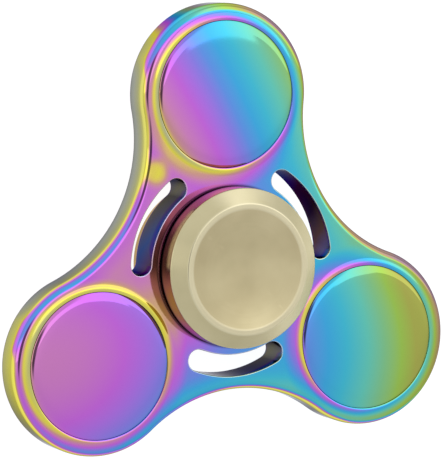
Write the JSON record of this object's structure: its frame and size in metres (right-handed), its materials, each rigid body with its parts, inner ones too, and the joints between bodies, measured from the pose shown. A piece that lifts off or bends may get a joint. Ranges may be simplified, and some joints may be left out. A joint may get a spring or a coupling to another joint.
{
  "type": "fidget spinner",
  "caption": "Three-lobed metal hand spinner with iridescent coating, flush lobe discs, curved slots and dished finger caps on a ball bearing.",
  "frame": {"origin": "centre of the bearing: on the spin axis, at mid-thickness of the plate", "axes": "+Z along the spin axis towards the front finger cap, +Y from the axis through the middle of the top lobe, +X to the right seen from the front"},
  "size_m": [0.0668, 0.0612, 0.0152],
  "materials": {
    "rainbow_plate": "gloss",
    "rainbow_disc": "gloss",
    "champagne_cap": "satin",
    "bearing_steel": "polished",
    "ball_steel": "polished",
    "cage_brass": "satin",
    "shield_steel": "satin",
    "spring_steel": "satin",
    "axle_steel": "satin"
  },
  "bodies": {
    "hub": {"front_cap": "champagne_cap", "rear_cap": "champagne_cap", "axle_stud": "axle_steel", "front_spacer": "axle_steel", "rear_spacer": "axle_steel", "bearing_inner_ring": "bearing_steel"},
    "spinner": {"spinner_body": "rainbow_plate", "front_disc_top": "rainbow_disc", "front_disc_left": "rainbow_disc", "front_disc_right": "rainbow_disc", "rear_disc_top": "rainbow_disc", "rear_disc_left": "rainbow_disc", "rear_disc_right": "rainbow_disc", "bearing_outer_ring": "bearing_steel", "bearing_front_shield": "shield_steel", "bearing_rear_shield": "shield_steel", "bearing_front_snap_ring": "spring_steel", "bearing_rear_snap_ring": "spring_steel"},
    "cage": {"bearing_cage": "cage_brass", "bearing_balls": "ball_steel"}
  },
  "joints": [
    {"name": "body_spin", "type": "hinge", "parent": "hub", "child": "spinner", "pos_m": [0, 0, 0], "axis": [0, 0, 1], "continuous": true},
    {"name": "cage_spin", "type": "hinge", "parent": "hub", "child": "cage", "pos_m": [0, 0, 0], "axis": [0, 0, 1], "continuous": true}
  ],
  "couplings": [
    {"joint": "cage_spin", "follows": "body_spin", "ratio": 0.58333}
  ]
}
